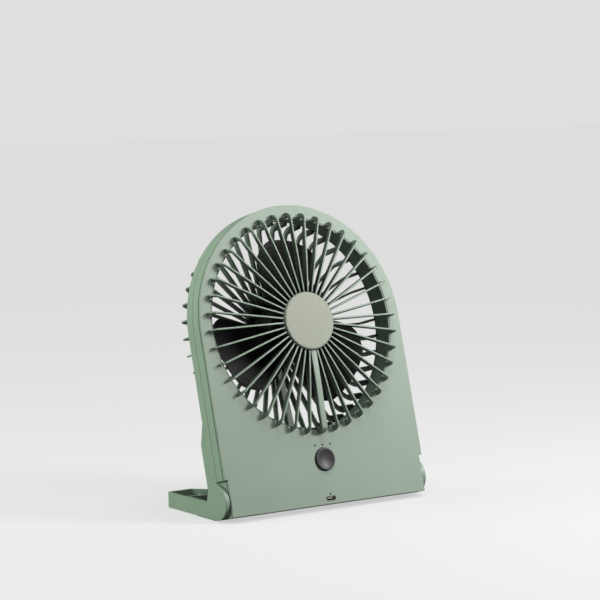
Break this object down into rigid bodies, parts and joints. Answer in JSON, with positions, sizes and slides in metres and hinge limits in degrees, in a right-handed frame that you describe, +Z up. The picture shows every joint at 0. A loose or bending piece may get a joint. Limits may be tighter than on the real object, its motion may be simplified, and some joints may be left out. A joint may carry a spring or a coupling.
{
  "type": "desk fan",
  "caption": "Small tombstone-shaped desk fan with a round ribbed grille, leaning back on a hinged U-shaped folding stand.",
  "frame": {"origin": "on the desk, under the middle of the fan's bounding box as it stands", "axes": "+Z up, +X to the fan's left-to-right as seen from the front, -Y the way it blows"},
  "size_m": [0.1674, 0.087, 0.2049],
  "materials": {
    "sage_abs": "fine moulded texture",
    "pale_sage_abs": "fine moulded texture",
    "black_plastic": "smooth moulding",
    "grey_button": "soft touch",
    "steel": "zinc plated",
    "bearing_steel": "ground",
    "socket_steel": "nickel plated",
    "brass": "turned",
    "copper": "enamelled winding",
    "ferrite": "sintered",
    "silicone": "matt",
    "board_green": "solder mask",
    "clear_light": "smoked lens",
    "battery_film": "shrink film",
    "foam": "closed cell foam",
    "lead_insulation": "extruded",
    "nylon": "moulded",
    "rubber": "matt"
  },
  "bodies": {
    "stand": {"stand": "sage_abs", "foot_pads": "rubber", "hinge_pins": "bearing_steel", "pin_clips": "steel", "friction_washers": "steel"},
    "head": {"front_panel": "sage_abs", "front_frame": "sage_abs", "rear_cover": "sage_abs", "duct_ring": "sage_abs", "front_grille": "sage_abs", "rear_grille": "sage_abs", "rear_cap": "pale_sage_abs", "hub_cap": "pale_sage_abs", "motor_base": "steel", "bearing_tube": "brass", "bearings": "bearing_steel", "stator_core": "steel", "stator_coils": "copper", "motor_screws": "steel", "return_spring": "silicone", "tact_switch": "black_plastic", "circuit_board": "board_green", "chips": "black_plastic", "light_pipes": "clear_light", "charging_socket": "socket_steel", "board_screws": "steel", "battery_cell": "battery_film", "battery_pad": "foam", "battery_tray": "sage_abs", "battery_leads": "lead_insulation", "motor_leads": "lead_insulation", "cover_screws": "steel", "pivot_bushes": "nylon"},
    "rotor": {"propeller": "black_plastic", "rotor_can": "steel", "rotor_magnet": "ferrite", "motor_shaft": "bearing_steel", "shaft_clip": "steel"},
    "button": {"power_button": "grey_button"}
  },
  "joints": [
    {"name": "head_tilt", "type": "hinge", "parent": "stand", "child": "head", "pos_m": [0, -0.02849, 0.0124], "axis": [-1, 0, 0], "range_deg": [-5, 40]},
    {"name": "propeller_spin", "type": "hinge", "parent": "head", "child": "rotor", "pos_m": [0, 0.00813, 0.12009], "axis": [0, 0.9659, -0.2588], "continuous": true},
    {"name": "button_press", "type": "slide", "parent": "head", "child": "button", "axis": [0, 0.9659, -0.2588], "range_m": [0, 0.0008], "stiffness_N_per_m": 800, "springref_m": -0.0006}
  ]
}
